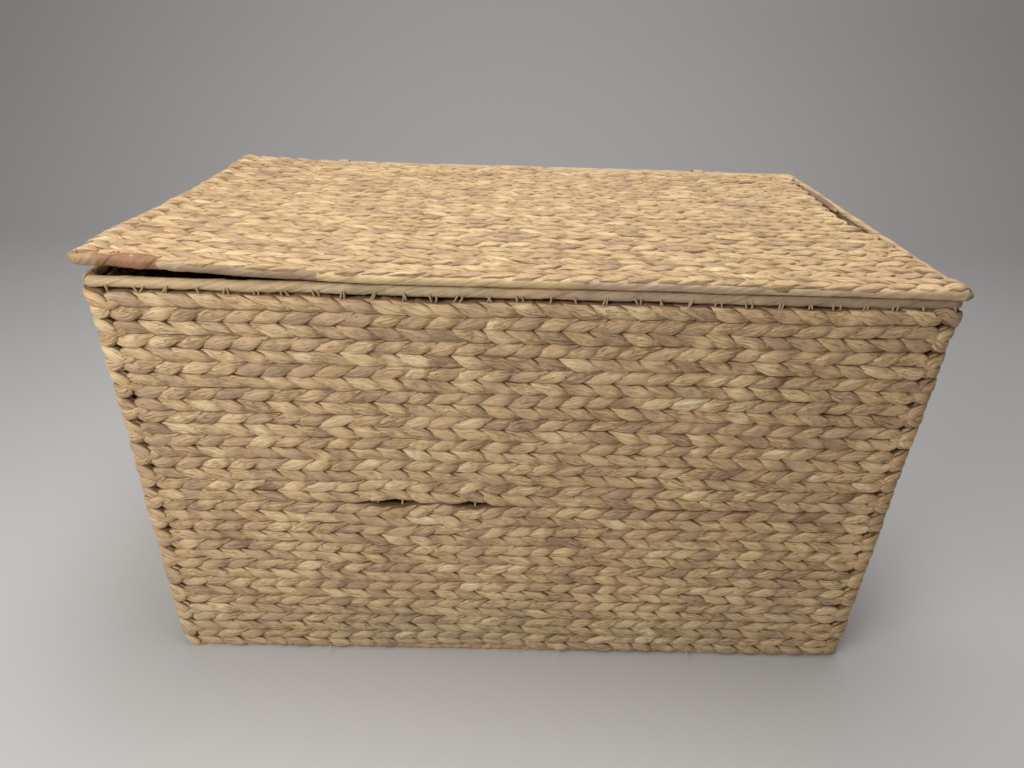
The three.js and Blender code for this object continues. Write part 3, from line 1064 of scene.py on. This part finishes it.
@dataclass
class PanelTwine:
    """A flat panel of twined rows in pairs that turn back at both ends: the lid or the floor."""

    growers: Growers
    finish: Material
    middle: float
    stitch: float = 19.6 * MM
    steps: int = 8
    depth: float = 1.1 * MM
    over_rod: float = 3.0 * MM
    rod_reach: float = 16 * MM
    fold_start: float = 4 * MM
    fold_drop: float = 3.2 * MM
    fold_turn: float = math.radians(55)
    sway: float = 0.9 * MM
    lift: Lift | None = None

    def pair_line(self, row: int, low: Spot, high: Spot, covered: tuple[bool, bool]) -> Line:
        """The line of two rows, which ends where it begins.

        Args:
            row: The pair's number.
            low: The left end and the front edge.
            high: The right end and the rear edge.
            covered: Whether the left and the right end go round a rod.

        Returns:
            The line, from the front row's left end on.
        """
        pitch = (high[1] - low[1]) / 2
        radius = pitch / 2
        left = low[0] + pitch
        right = high[0] - pitch
        total = 2 * (right - left + math.pi * radius)
        halves = 2 * round(total / self.stitch / 2)
        count = halves * self.steps
        front = low[1] + radius
        bend = radius + self.fold_start
        line = Line(row=float(row))
        for i in range(count + 1):
            distance = total * i / count
            x, y = self.oval(distance, left, right, front, radius)
            z = self.middle + (self.lift.panel_at(x, y) if self.lift else 0.0)
            z += self.sway * waver(x * 9, y * 9, row * 0.37)
            y += self.sway * waver(x * 7, y * 11, 8.0 + row * 0.21)
            depth = self.depth
            fold = 0.0
            if covered[0]:
                depth += (self.over_rod - self.depth) * bump(x, low[0], self.rod_reach)
                fold = min(0.0, (x - left - self.fold_start) / bend)
            if covered[1]:
                depth += (self.over_rod - self.depth) * bump(x, high[0], self.rod_reach)
                fold += max(0.0, (x - right + self.fold_start) / bend)
            z -= self.fold_drop * fold**2
            angle = fold * self.fold_turn
            outward = Vector((math.sin(angle), 0, math.cos(angle)))
            slip = 0.8 * waver(distance * 9, row * 2.3, 1.0)
            slip += 0.6 * waver(distance * 33, row * 1.9, 6.0)
            turn = halves * math.pi * i / count + slip * math.sin(math.pi * i / count)
            girth = 1.0 - 0.3 * abs(fold)
            line.put(Vector((x, y, z)), outward, -FORWARD, turn, distance, depth, girth)
        return line

    @staticmethod
    def oval(distance: float, left: float, right: float, front: float, radius: float) -> Spot:
        """A place on a long oval.

        Args:
            distance: How far round, from the front row's left end.
            left: Where the straight rows begin.
            right: Where they end.
            front: The front row's middle.
            radius: Half the distance between the rows.

        Returns:
            The place along X and Y.
        """
        span = right - left
        arc = math.pi * radius
        if distance < span:
            return left + distance, front
        if distance < span + arc:
            angle = (distance - span) / radius
            return right + radius * math.sin(angle), front + radius * (1 - math.cos(angle))
        if distance < 2 * span + arc:
            return right - (distance - span - arc), front + 2 * radius
        angle = (distance - 2 * span - arc) / radius
        return left - radius * math.sin(angle), front + radius * (1 + math.cos(angle))


@dataclass
class LidTwine:
    """The lid's woven panel, one piece to each band of the frame."""

    panel: PanelTwine
    reach: float
    inset: float = 1.5 * MM
    held_bands: int = 4
    closing_bands: int = 3
    left_reach: float = 4.5 * MM
    bow: float = 5.5 * MM
    right_reach: float = 8 * MM
    right_inset: float = 6 * MM
    slit: float = 4.0 * MM
    slit_band: float = 7.6
    front_lap: float = 10.5 * MM
    lap_bands: int = 6
    strand: ClassVar[dict[str, float]] = {
        "Rise": 2.3 * MM,
        "Width": 11.8 * MM,
        "Thickness": 6.6 * MM,
        "Pinch": 0.46,
        "Bulge": 0.03,
        "Wobble": 1.7 * MM,
        "Swell": 0.3,
    }

    @property
    def edge(self) -> float:
        """Half the width between the lid's side rods."""
        return self.reach - self.inset

    def lap(self, number: int) -> float:
        """How far a band's front edge is drawn forward over the front rod."""
        return self.front_lap * max(0.0, 1 - number / self.lap_bands)

    def right_end(self, number: int, frame_end: float) -> float:
        """Where a band ends at the right.

        Args:
            number: The band's number from the front.
            frame_end: Where the frame's band ends.

        Returns:
            The place along X. The front bands go round the rod, the rest stop short of it.
        """
        if number < self.held_bands:
            return self.edge + self.right_reach * bump(number, 0.0, 0.8)
        slack = min(1.0, (number - self.held_bands + 1) / (self.closing_bands + 1))
        end = frame_end + (self.edge - self.right_inset - frame_end) * (1 - slack)
        return end - self.slit * bump(number, self.slit_band, 1.9)

    def build(self) -> None:
        """Grows every band of the lid."""
        grow = self.panel.growers.strands.grow
        names = sorted(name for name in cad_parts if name.startswith("lid_weft_band"))
        for number, name in enumerate(names):
            low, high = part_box(name)
            left = -self.edge - self.left_reach - self.bow * bump(number, 2.0, 2.6)
            start = (left, low.y - self.lap(number))
            end = (self.right_end(number, high.x), high.y - self.lap(number + 1))
            line = self.panel.pair_line(number, start, end, (True, number < self.held_bands))
            piece = grow(
                f"lid_twine_{number + 1:02d}",
                [line],
                self.panel.finish,
                Seed=40.0 + number,
                **self.strand,
            )
            settle(piece, Body.LID, Slot.STRAND, name)


@dataclass
class FloorTwine:
    """The chest's woven floor."""

    panel: PanelTwine
    pairs: int = 16
    thickness: float = 4.0 * MM

    def build(self) -> None:
        """Grows the floor as one piece."""
        low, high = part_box("floor_mat")
        pitch = (high.y - low.y) / self.pairs
        lines = []
        for pair in range(self.pairs):
            front = low.y + pair * pitch
            ends = ((low.x, front), (high.x, front + pitch))
            lines.append(self.panel.pair_line(pair, *ends, (False, False)))
        piece = self.panel.growers.strands.grow(
            "floor_twine", lines, self.panel.finish, Seed=80.0, Sides=8, Thickness=self.thickness
        )
        settle(piece, Body.CHEST, Slot.STRAND, "floor_mat")


@dataclass(frozen=True)
class ThinStretch:
    """Where a side's wrap is thinner and set in, from low to high along that side."""

    side: int
    low: float
    high: float
    girth: float
    inset: float = 0.0


@dataclass
class RodWraps:
    """Leaf wraps of the base, the rim or the lid, one piece to each side."""

    plan: Plan
    growers: Growers
    radii: dict[str, float]
    step: float = 1.6 * MM
    shift: float = 0.0
    front_out: float = 0.0
    front_drop: float = 0.0
    stray: float = 0.6 * MM
    thin: tuple[ThinStretch, ...] = ()

    def side_line(self, side: int, z: float, lift: Lift | None) -> Line:
        """The middle of one side's rod, from corner to corner.

        Args:
            side: 0 for the front, then right, rear and left.
            z: The rod's height.
            lift: The lid's lift, or None for a level rod.

        Returns:
            The line.
        """
        start = self.plan.corner(side - 1) if side else self.plan.corner(3) - self.plan.length
        end = self.plan.corner(side)
        count = math.ceil((end - start) / self.step)
        forward, fall = (-self.front_out, self.front_drop) if side == 0 else (0.0, 0.0)
        line = Line(row=float(side))
        for i in range(count + 1):
            distance = start + (end - start) * i / count
            point, outward = self.plan.at(distance)
            rise = lift.at(point.x, point.y) if lift else 0.0
            stray = self.stray * waver(point.x * 16, point.y * 16, z * 30)
            girth = 1.0 + 0.14 * waver(point.x * 23, point.y * 23, z * 70 + 2.0)
            for stretch in self.thin:
                if stretch.side == side:
                    share = shelf(point[side % 2], stretch.low, stretch.high, 3 * MM)
                    girth *= 1.0 - (1.0 - stretch.girth) * share
                    point = point - outward * (stretch.inset * share)
            place = point + Vector((self.shift, forward, z + rise + stray - fall))
            line.put(place, outward, UP, 0.0, distance + self.plan.length, girth=girth)
        return line

    def build(
        self,
        stem: str,
        body: Body,
        finishes: dict[str, Material],
        lift: Lift | None = None,
        **sizes: float,
    ) -> None:
        """Grows the four wraps of one rod.

        Args:
            stem: The start of the frame's node names.
            body: The body that the wraps ride on.
            finishes: The material of each side's wrap, by the side's name.
            lift: The lid's lift, or None.
            sizes: Other sizes of the wrap grower.
        """
        grow = self.growers.wraps.grow
        for side, name in enumerate(SIDES):
            node = f"{stem}_{name}"
            low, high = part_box(f"{stem}_rear" if lift else node)
            line = self.side_line(side, (low.z + high.z) / 2, lift)
            sizes |= {"Radius": self.radii[name], "Seed": float(side)}
            settle(grow(f"{node}_leaf", [line], finishes[name], **sizes), body, Slot.LEAF, node)


@dataclass
class LidBindings:
    """Short bindings on the lid's rod: a tip at each end of the front and a lashing at the right edge."""

    plan: Plan
    growers: Growers
    lift: Lift
    level: float
    tip_reach: float = 11 * MM
    tip_end: float = -243 * MM
    tip_radius: float = 5.0 * MM
    tip_droop: float = 2.4 * MM
    tip_pitch: float = 27 * MM
    droop_reach: float = 45 * MM
    right_reach: float = 8.5 * MM
    right_end: float = 262 * MM
    right_radius: float = 4.7 * MM
    front_out: float = 2.5 * MM
    front_drop: float = 0.8 * MM
    lashing_y: Spot = (28 * MM, 112 * MM)
    lashing_inset: float = 5.2 * MM
    lashing_radius: float = 3.0 * MM
    lashing_pitch: float = 6 * MM
    step: float = 1.2 * MM

    def build(self, tip_finish: Material, right_finish: Material, lashing_finish: Material) -> None:
        """Grows the bindings.

        Args:
            tip_finish: The sprung corner's material.
            right_finish: The right corner's material.
            lashing_finish: The edge lashing's material.
        """
        left = self.tip_line(-self.plan.half_x - self.tip_reach, self.tip_end, self.tip_droop, 0.5)
        right = self.tip_line(self.plan.half_x + self.right_reach, self.right_end, 0.0, 1.6)
        left_sizes = {
            "Radius": self.tip_radius,
            "Pitch": self.tip_pitch,
            "Ridge": 0.8 * MM,
            "Crumple": 1.8 * MM,
            "Seed": 11.0,
        }
        right_sizes = {"Radius": self.right_radius, "Seed": 13.0}
        edge_sizes = {
            "Radius": self.lashing_radius,
            "Pitch": self.lashing_pitch,
            "Ridge": 1.2 * MM,
            "Seed": 12.0,
        }
        bindings = (
            ("lid_tip_binding", left, tip_finish, left_sizes),
            ("lid_right_tip", right, right_finish, right_sizes),
            ("lid_edge_lashing", self.edge_line(), lashing_finish, edge_sizes),
        )
        for name, line, finish, sizes in bindings:
            piece = self.growers.wraps.grow(name, [line], finish, **sizes)
            settle(piece, Body.LID, Slot.LEAF)

    def tip_line(self, start: float, end: float, droop: float, taper: float) -> Line:
        """The line of a corner's binding, which closes to a rounded end beyond the rod.

        Args:
            start: Where its tip is along X.
            end: Where it ends on the rod.
            droop: How far the tip hangs down.
            taper: How slowly it closes, 0.5 for a round end and more for a pointed one.

        Returns:
            A line along the lid's front.
        """
        count = math.ceil(abs(end - start) / self.step)
        line = Line()
        for i in range(count + 1):
            x = start + (end - start) * i / count
            run = abs(x - start)
            closing = max(0.0, 1 - run / (1.6 * self.tip_radius))
            girth = max(0.04, 1 - closing**2) ** taper - 0.18 * bump(x, end, 7 * MM)
            fall = droop * max(0.0, 1 - run / self.droop_reach) ** 2 + self.front_drop
            z = self.level + self.lift.at(x, -self.plan.half_y) - fall
            place = Vector((x, -self.plan.half_y - self.front_out, z))
            line.put(place, FORWARD, UP, along=run, girth=girth)
        return line

    def edge_line(self) -> Line:
        """The line of the right edge's lashing, between the rod and the panel.

        Returns:
            A line along the lid's right side.
        """
        low, high = self.lashing_y
        count = math.ceil((high - low) / self.step)
        line = Line()
        for i in range(count + 1):
            y = low + (high - low) * i / count
            girth = 1.0 - 0.5 * (2 * i / count - 1) ** 4
            place = Vector((self.plan.half_x - self.lashing_inset, y, self.level))
            line.put(place, RIGHT, UP, along=y - low, girth=girth)
        return line


@dataclass
class LooseFibres:
    """Fine fibres that have come loose from the leaf: a frayed place at the rim and a few at the foot."""

    plan: Plan
    growers: Growers
    finish: Material
    rim: float
    frayed_x: float = -110 * MM
    frayed: int = 11
    foot_x: tuple[float, ...] = (-166 * MM, 158 * MM, 41 * MM)
    thickness: float = 0.7 * MM
    steps: int = 8

    def build(self) -> None:
        """Grows all fibres as one piece."""
        chance = random.Random(3)
        lines = []
        front = -self.plan.half_y - 5.5 * MM
        for i in range(self.frayed):
            x = self.frayed_x + chance.uniform(-20, 20) * MM
            side = chance.choice((-1, 1))
            run = Vector((side, chance.uniform(-0.25, 0.05), chance.uniform(-0.15, 0.28)))
            start = Vector((x, front + 2 * MM, self.rim + chance.uniform(-3, 2) * MM))
            lines.append(self.fibre(start, run, chance.uniform(14, 36) * MM, float(i)))
        for i, x in enumerate(self.foot_x):
            start = Vector((x, front - 0.5 * MM, 7 * MM))
            run = Vector((chance.uniform(-0.4, 0.4), -0.6, -0.35))
            lines.append(self.fibre(start, run, 12 * MM, 30.0 + i))
        sizes = {"Strands": 1, "Sides": 5, "Wobble": 0.0, "Swell": 0.2}
        sizes |= dict.fromkeys(("Width", "Thickness"), self.thickness)
        piece = self.growers.strands.grow("loose_fibres", lines, self.finish, **sizes)
        settle(piece, Body.CHEST, Slot.LEAF)

    def fibre(self, start: Vector, run: Vector, length: float, row: float) -> Line:
        """One fibre that tapers and bends.

        Args:
            start: Where it leaves the leaf.
            run: Its direction.
            length: Its length.
            row: A number that sets its bend and its tone.

        Returns:
            The line.
        """
        line = Line(row=row)
        along = run.normalized()
        for i in range(self.steps + 1):
            share = i / self.steps
            bend = 0.12 * length * share**2 * waver(row * 3.3, 1.0, 0.5)
            place = start + along * (length * share) + Vector((0, -1, 0.6)) * bend
            line.put(place, FORWARD, UP, along=length * share, girth=1.0 - 0.75 * share)
        return line


@dataclass
class RimTies:
    """Thread loops that hold the rim to the top row, one at each upright cord."""

    plan: Plan
    growers: Growers
    finish: Material
    stitch: float
    rim: float
    drop: float = 4.4 * MM
    spread: float = 2.0 * MM

    def build(self) -> None:
        """Grows the loops."""
        count = self.plan.stitches(self.stitch)
        line = Line()
        for i in range(count):
            middle = self.plan.length * (i + 0.5 + 0.16 * waver(i * 1.7, 2.0, 0.0)) / count
            for leg in (-self.spread / 2, self.spread / 2):
                point, outward = self.plan.at(middle + leg)
                girth = 1.0 + 0.12 * waver(i * 2.3, leg * 900, 4.0)
                line.put(point + UP * (self.rim - self.drop), outward, UP, girth=girth)
        piece = self.growers.ties.grow("rim_ties", [line], self.finish, Seed=7)
        settle(piece, Body.CHEST, Slot.LEAF)


@dataclass
class WarpCords:
    """The thin cords that the rows twine round, upright in the walls and front to rear in the lid."""

    plan: Plan
    growers: Growers
    finish: Material
    stitch: float
    cord: float = 1.7 * MM
    head_drop: float = 12 * MM
    front_inset: float = 14 * MM
    side_inset: float = 16 * MM

    def grow(self, name: str, body: Body, lines: list[Line]) -> None:
        """Grows cords along lines.

        Args:
            name: The piece's name.
            body: The body that it rides on.
            lines: A line for each cord.
        """
        sizes = {"Strands": 1, "Sides": 6, "Wobble": 0.0, "Swell": 0.1}
        sizes |= dict.fromkeys(("Width", "Thickness"), self.cord)
        settle(self.growers.strands.grow(name, lines, self.finish, **sizes), body, Slot.STRAND)

    def build_wall(self, low: float, rim: float) -> None:
        """Grows the upright cords.

        Args:
            low: The height of their feet.
            rim: The height of the rim's rod, which they stop short of.
        """
        high = rim - self.head_drop
        count = self.plan.stitches(self.stitch)
        lines = []
        for i in range(count):
            point, outward = self.plan.at(self.plan.length * i / count)
            line = Line(row=float(i))
            for share in (0.0, 0.5, 1.0):
                line.put(point + UP * (low + (high - low) * share), outward, UP.cross(outward))
            lines.append(line)
        self.grow("wall_cords", Body.CHEST, lines)

    def build_lid(self, lift: Lift, z: float) -> None:
        """Grows the lid's cords, from the front rod to the rear one.

        Args:
            lift: The lid's lift.
            z: The height of the lid's rod.
        """
        half = self.plan.half_x - self.side_inset
        count = int(2 * half / self.stitch)
        lines = []
        for i in range(count + 1):
            x = -half + 2 * half * i / count
            line = Line(row=float(i))
            for y in (lift.front + self.front_inset, 0.0, lift.rear):
                line.put(Vector((x, y, z + lift.at(x, y))), UP, RIGHT)
            lines.append(line)
        self.grow("lid_cords", Body.LID, lines)


@dataclass
class HingeLashings:
    """The two lashings of flat leaf strip round the rear rim and the lid's rear rod."""

    growers: Growers
    finish: Material
    turns: int = 4
    steps: int = 28
    strip: float = 3.9 * MM
    thickness: float = 0.9 * MM
    step_length: float = 1.2 * MM
    names: ClassVar[tuple[str, ...]] = ("hinge_lashing_left", "hinge_lashing_right")
    margin: ClassVar[float] = 4 * MM

    @classmethod
    def room(cls) -> list[ThinStretch]:
        """Where the lid's rear wrap is thin, so that it turns freely inside the lashings."""
        boxes = [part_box(name) for name in cls.names]
        return [ThinStretch(2, a.x - cls.margin, b.x + cls.margin, 0.84) for a, b in boxes]

    def build(self) -> None:
        """Grows both lashings."""
        sizes = {"Strands": 1, "Sides": 8, "Wobble": 0.25 * MM, "Swell": 0.1}
        sizes |= {"Width": self.strip, "Thickness": self.thickness}
        for name in self.names:
            line = self.wound(*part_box(name))
            piece = self.growers.strands.grow(f"{name}_strip", [line], self.finish, **sizes)
            settle(piece, Body.CHEST, Slot.LEAF, name)

    def wound(self, low: Vector, high: Vector) -> Line:
        """A strip wound round an oval.

        Args:
            low: The lowest corner of the lashing's space.
            high: Its highest corner.

        Returns:
            A line with a few turns.
        """
        centre = (low + high) / 2
        half_y = (high.y - low.y - self.thickness) / 2
        half_z = (high.z - low.z - self.thickness) / 2
        straight = half_z - half_y
        line = Line()
        count = self.turns * self.steps
        for i in range(count + 1):
            angle = math.tau * i / self.steps
            out = Vector((0, math.cos(angle), math.sin(angle)))
            x = low.x + self.strip / 2 + (high.x - low.x - self.strip) * i / count
            rise = math.copysign(straight, math.sin(angle))
            place = Vector((x, centre.y, centre.z)) + out * half_y + UP * rise
            line.put(place, out, RIGHT, 0.0, i * self.step_length)
        return line


@dataclass
class SteelFrame:
    """The frame's own rods, which stay as they are and get a finish."""

    finish: Material

    def build(self) -> None:
        """Dresses every rod and post."""
        for name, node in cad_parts.items():
            if node.hide_render:
                continue
            node.data.materials.clear()
            node.data.materials.append(self.finish)
            LOG.info("%s: steel", name)


@dataclass
class Studio:
    """Floor, backdrop, light and the camera at the photograph's angle."""

    width_px: int = 1024
    focal_px: float = 706.0
    pitch: float = math.radians(29.22)
    yaw: float = math.radians(-1.07)
    roll: float = math.radians(1.945)
    stand: Vector = field(default_factory=lambda: Vector((-17.5, -617.6, 530.8)) * MM)
    floor_colour: Colour = (0.52, 0.51, 0.50)
    floor_depth: float = 1.5
    floor_bend: float = 0.5
    bend_steps: int = 12
    surround_colour: Colour = (1.0, 0.99, 0.97)
    surround: float = 0.17

    def build(self) -> None:
        """Makes the stage."""
        self.build_floor()
        self.build_light()
        self.build_camera()
        bpy.context.scene.view_settings.view_transform = "Standard"

    def build_floor(self) -> None:
        """A floor that curves up into a backdrop."""
        flat = self.floor_depth - self.floor_bend
        profile = [(-4.0, 0.0), (flat, 0.0)]
        for i in range(1, self.bend_steps + 1):
            angle = math.pi / 2 * i / self.bend_steps
            rise = self.floor_bend * (1 - math.cos(angle))
            profile.append((flat + self.floor_bend * math.sin(angle), rise))
        profile.append((self.floor_depth, 4.0))
        points = [(x, y, z) for y, z in profile for x in (-5.0, 5.0)]
        faces = [(2 * i, 2 * i + 1, 2 * i + 3, 2 * i + 2) for i in range(len(profile) - 1)]
        mesh = bpy.data.meshes.new("floor")
        mesh.from_pydata(points, [], faces)
        mesh.shade_smooth()
        floor = bpy.data.objects.new("floor", mesh)
        bpy.context.scene.collection.objects.link(floor)
        material = bpy.data.materials.new("pale_floor")
        material.use_nodes = True
        shader = material.node_tree.nodes["Principled BSDF"]
        shader.inputs["Base Color"].default_value = (*self.floor_colour, 1.0)
        shader.inputs["Roughness"].default_value = 0.85
        mesh.materials.append(material)
        floor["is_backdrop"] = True

    def build_light(self) -> None:
        """A soft key from above, a side lamp from the left front and an even surround."""
        self.add_lamp("key", Vector((0.10, 0.12, 1.8)), Vector((0.0, 0.0, 0.25)), 1.0, 20.5)
        self.add_lamp("side", Vector((-0.65, -0.76, 0.80)), Vector((-0.1, -0.17, 0.25)), 0.6, 7.0)
        world = bpy.data.worlds.new("surround")
        bpy.context.scene.world = world
        world.use_nodes = True
        surround = world.node_tree.nodes["Background"]
        surround.inputs["Color"].default_value = (*self.surround_colour, 1.0)
        surround.inputs["Strength"].default_value = self.surround

    @staticmethod
    def add_lamp(name: str, place: Vector, aim: Vector, size: float, power: float) -> None:
        """Adds a square area lamp.

        Args:
            name: The lamp's name.
            place: Where it stands.
            aim: What it points at.
            size: The side of its square.
            power: Its power in watts.
        """
        data = bpy.data.lights.new(name, "AREA")
        data.size = size
        data.energy = power
        lamp = bpy.data.objects.new(name, data)
        lamp.location = place
        lamp.rotation_euler = (aim - place).to_track_quat("-Z", "Y").to_euler()
        bpy.context.scene.collection.objects.link(lamp)

    def build_camera(self) -> None:
        """The camera that was fitted to the photograph."""
        data = bpy.data.cameras.new("camera")
        data.sensor_width = 36.0
        data.lens = self.focal_px / self.width_px * data.sensor_width
        data.clip_end = 50.0
        camera = bpy.data.objects.new("camera", data)
        level = Matrix(((1, 0, 0), (0, 0, -1), (0, 1, 0)))
        turned = (
            Matrix.Rotation(self.roll, 3, "Z")
            @ Matrix.Rotation(self.pitch, 3, "X")
            @ Matrix.Rotation(self.yaw, 3, "Y")
            @ level
        )
        axes = Matrix((turned[0], -turned[1], -turned[2])).transposed()
        camera.matrix_world = Matrix.Translation(self.stand) @ axes.to_4x4()
        bpy.context.scene.collection.objects.link(camera)
        bpy.context.scene.camera = camera


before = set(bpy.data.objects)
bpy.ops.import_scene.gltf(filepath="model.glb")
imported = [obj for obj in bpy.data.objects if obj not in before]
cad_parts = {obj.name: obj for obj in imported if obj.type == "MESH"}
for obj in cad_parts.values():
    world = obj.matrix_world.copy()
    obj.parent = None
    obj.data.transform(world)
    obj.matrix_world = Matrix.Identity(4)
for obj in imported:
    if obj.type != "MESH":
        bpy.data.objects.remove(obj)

RIM_STRETCHES = (
    Stretch(-300, -185, (0.600, 0.430, 0.220)),
    Stretch(-150, -122, (0.560, 0.430, 0.260)),
    Stretch(-122, -94, (0.360, 0.300, 0.140)),
    Stretch(-94, -20, (0.500, 0.385, 0.235)),
    Stretch(-20, 36, (0.560, 0.385, 0.235)),
    Stretch(36, 160, (0.540, 0.400, 0.250)),
    # This stretch is darker partly for its grey-brown leaf and partly as painted shade of the lid's
    # shadow.
    Stretch(160, 300, (0.360, 0.255, 0.165)),
)
TIP_STRETCHES = (Stretch(-320, -287, (0.480, 0.325, 0.170)),)
LID_STRETCHES = (
    Stretch(-243, -235, (0.430, 0.320, 0.185)),
    # This stretch is much darker than the leaf there: mostly painted shade, over a slightly darker leaf.
    Stretch(-232, -140, (0.250, 0.175, 0.100)),
    Stretch(-140, 34, (0.680, 0.475, 0.240)),
    Stretch(34, 160, (0.520, 0.370, 0.245)),
    Stretch(160, 310, (0.660, 0.490, 0.300)),
)
ORANGE = (0.340, 0.170, 0.076)
BROWN = (0.230, 0.150, 0.095)


def main() -> None:
    """Builds every piece in order, from the sizes of the frame before it is dressed."""
    logging.basicConfig(level=logging.INFO, format="%(message)s")
    cad_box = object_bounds()
    growers = Growers()
    rim_low, rim_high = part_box("rim_rod")
    rear_low, rear_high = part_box("lid_wrap_rear")
    rod = rim_high.z - rim_low.z
    rim_z = (rim_low.z + rim_high.z) / 2
    lid_z = (rear_low.z + rear_high.z) / 2
    plan = Plan(rim_high.x - rod / 2, rim_high.y - rod / 2, 5 * MM)
    rim_plan = Plan(plan.half_x + 2 * MM, plan.half_y + 1 * MM, plan.radius)
    wall_plan = Plan(plan.half_x + 2 * MM, plan.half_y, 7 * MM)
    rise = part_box("lid_wrap_front")[1].z - rear_high.z
    lift = Lift(rise, cad_box[0].x, cad_box[0].y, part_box("lid_weft_band_16")[1].y)
    walls = WallTwine(wall_plan, growers, StrandFinish("wall_strand").make())
    walls.build()
    # The lid's strands have less contrast and weaker painted shade at their edges.
    lid_strand = StrandFinish("lid_strand", contrast=0.56, hollow_shade=0.48, blush=0.62).make()
    lid_panel = PanelTwine(growers, lid_strand, lid_z, depth=0.8 * MM, lift=lift)
    LidTwine(lid_panel, cad_box[1].x).build()
    floor_low, floor_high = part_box("floor_mat")
    floor_z = (floor_low.z + floor_high.z) / 2
    FloorTwine(PanelTwine(growers, lid_strand, floor_z, steps=5, depth=2.2 * MM)).build()
    leaf = WrapFinish("rim_leaf").make()
    rim_front = WrapFinish("rim_front_leaf", lap_shade=0.25, stretches=RIM_STRETCHES).make()
    rim_wraps = RodWraps(
        rim_plan,
        growers,
        dict(zip(SIDES, (4.1 * MM, 3.8 * MM, 3.5 * MM, 4.5 * MM))),
        shift=-0.5 * MM,
        front_out=0.6 * MM,
        front_drop=1.2 * MM,
        thin=(ThinStretch(1, -70 * MM, 60 * MM, 0.74, 1.2 * MM),),
    )
    rim_wraps.build("rim_wrap", Body.CHEST, dict.fromkeys(SIDES, leaf) | {"front": rim_front})
    base_pitch = 9 * MM
    base_leaf = WrapFinish(
        "base_leaf", grey=(0.50, 0.31, 0.15), tan=(0.62, 0.37, 0.17), pitch=base_pitch
    ).make()
    base_wraps = RodWraps(plan, growers, dict.fromkeys(SIDES, 3.5 * MM))
    base_wraps.build("base_wrap", Body.CHEST, dict.fromkeys(SIDES, base_leaf), Pitch=base_pitch)
    lid_leaf = WrapFinish("lid_leaf", length=330 * MM).make()
    lid_front = WrapFinish(
        "lid_front_leaf", length=330 * MM, lap_shade=0.12, stretches=LID_STRETCHES
    ).make()
    lid_wraps = RodWraps(
        plan,
        growers,
        dict(zip(SIDES, (3.5 * MM, 3.2 * MM, 3.8 * MM, 3.3 * MM))),
        front_out=3.5 * MM,
        front_drop=0.8 * MM,
        thin=(ThinStretch(0, -400 * MM, -246 * MM, 0.65), *HingeLashings.room()),
    )
    lid_leaves = dict.fromkeys(SIDES, lid_leaf) | {"front": lid_front}
    lid_wraps.build("lid_wrap", Body.LID, lid_leaves, lift, Crumple=0.7 * MM, Ridge=0.4 * MM)
    bindings = LidBindings(plan, growers, lift, lid_z)
    tip_leaf = WrapFinish(
        "tip_leaf",
        dark=(0.29, 0.12, 0.05),
        grey=ORANGE,
        tan=ORANGE,
        pale=(0.50, 0.29, 0.15),
        pitch=bindings.tip_pitch,
        length=400 * MM,
        lap_shade=0.3,
        stretches=TIP_STRETCHES,
    ).make()
    lashing_leaf = WrapFinish(
        "lashing_leaf", tan=BROWN, pale=(0.42, 0.31, 0.20), pitch=bindings.lashing_pitch
    ).make()
    bindings.build(tip_leaf, lid_front, lashing_leaf)
    tie = ThreadFinish("tie_leaf", pale=(0.500, 0.380, 0.220), dull=(0.330, 0.220, 0.115)).make()
    RimTies(rim_plan, growers, tie, walls.stitch, rim_z).build()
    fibre = ThreadFinish("fibre", pale=(0.80, 0.70, 0.48)).make()
    LooseFibres(plan, growers, fibre, rim_z).build()
    cords = WarpCords(plan, growers, ThreadFinish("thread").make(), walls.stitch)
    cords.build_wall(rod, rim_z)
    cords.build_lid(lift, lid_z)
    HingeLashings(growers, leaf).build()
    SteelFrame(SteelFinish("frame_steel").make()).build()
    Studio().build()


if __name__ == "__main__":
    main()
